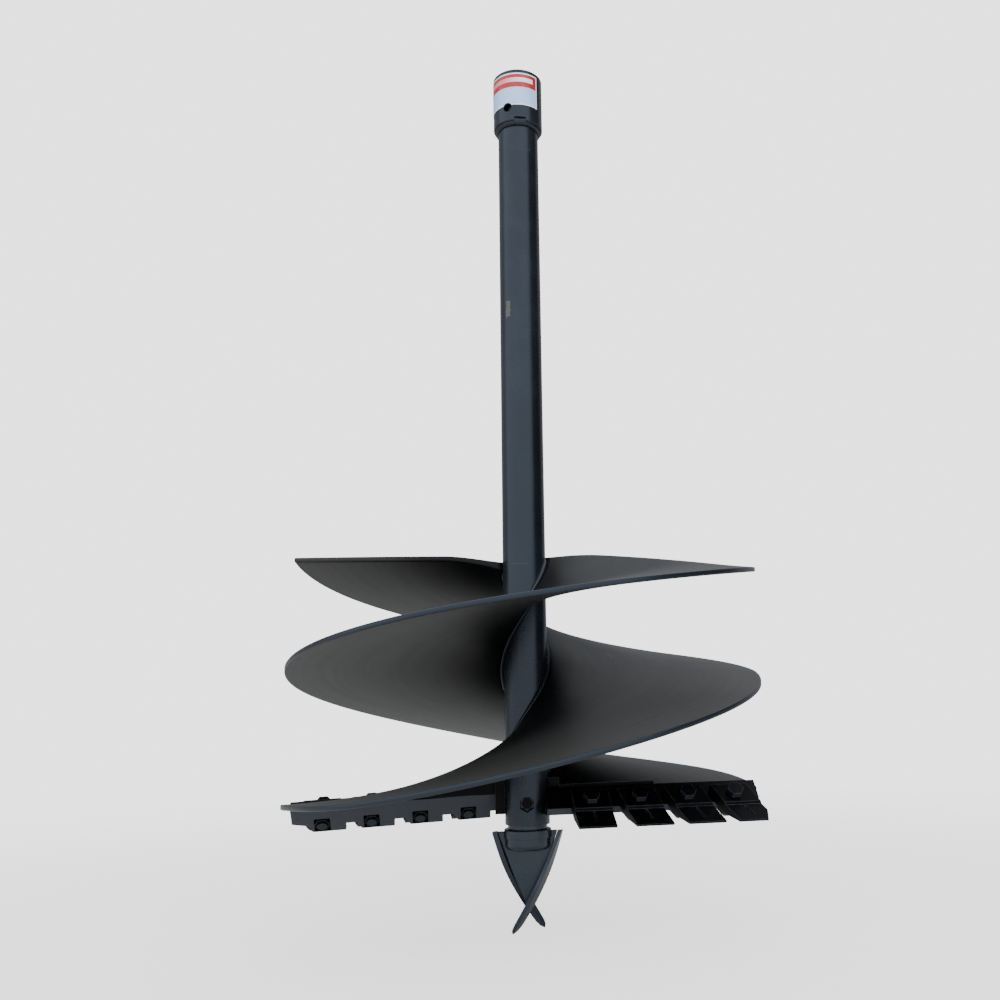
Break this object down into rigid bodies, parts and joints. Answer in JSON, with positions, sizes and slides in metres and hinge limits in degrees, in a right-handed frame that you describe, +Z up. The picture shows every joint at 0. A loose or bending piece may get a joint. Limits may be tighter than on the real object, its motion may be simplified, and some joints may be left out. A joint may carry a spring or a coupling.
{
  "type": "planting auger bit",
  "caption": "Double-flight earth auger bit for a powered drive: round hub on a hollow stem, two helical flights, bolted tooth bars and a fishtail pilot.",
  "frame": {"origin": "on the hub's bore axis, at the hub's top face, where the drive shaft enters", "axes": "+Z up along the stem, out of the hub's mouth; -Y towards the viewer of the picture; +X to their right"},
  "size_m": [0.8, 0.7998, 1.5425],
  "materials": {
    "stem_powder": "satin black powder coat, slightly blue",
    "flight_powder": "satin black powder coat on rolled plate",
    "bar_powder": "satin black powder coat on flame-cut plate",
    "pilot_powder": "satin black powder coat on a forging",
    "tooth_steel": "black cast tooth steel",
    "black_fastener": "blackened high-tensile steel",
    "label_print": "printed vinyl, plain red band over pale blue"
  },
  "bodies": {
    "root": {"drive_hub": "stem_powder", "hub_label": "label_print", "hub_weld": "stem_powder", "stem_tube": "stem_powder", "flight_a": "flight_powder", "flight_b": "flight_powder", "flight_weld_a": "stem_powder", "flight_weld_b": "stem_powder", "tooth_bar_a": "bar_powder", "tooth_bar_b": "bar_powder", "tooth_a1": "tooth_steel", "tooth_a2": "tooth_steel", "tooth_a3": "tooth_steel", "tooth_a4": "tooth_steel", "tooth_b1": "tooth_steel", "tooth_b2": "tooth_steel", "tooth_b3": "tooth_steel", "tooth_b4": "tooth_steel", "tooth_bolts_a": "black_fastener", "tooth_bolts_b": "black_fastener", "tooth_washers_a": "tooth_steel", "tooth_washers_b": "tooth_steel", "tooth_nuts_a": "tooth_steel", "tooth_nuts_b": "tooth_steel", "end_gusset_a": "bar_powder", "end_gusset_b": "bar_powder", "bar_rib_a": "bar_powder", "bar_rib_b": "bar_powder", "pilot_shank": "pilot_powder", "pilot_web": "pilot_powder", "pilot_wing_a": "pilot_powder", "pilot_wing_b": "pilot_powder", "pilot_bolt": "black_fastener", "pilot_washer": "black_fastener", "pilot_nut": "black_fastener"}
  },
  "joints": []
}
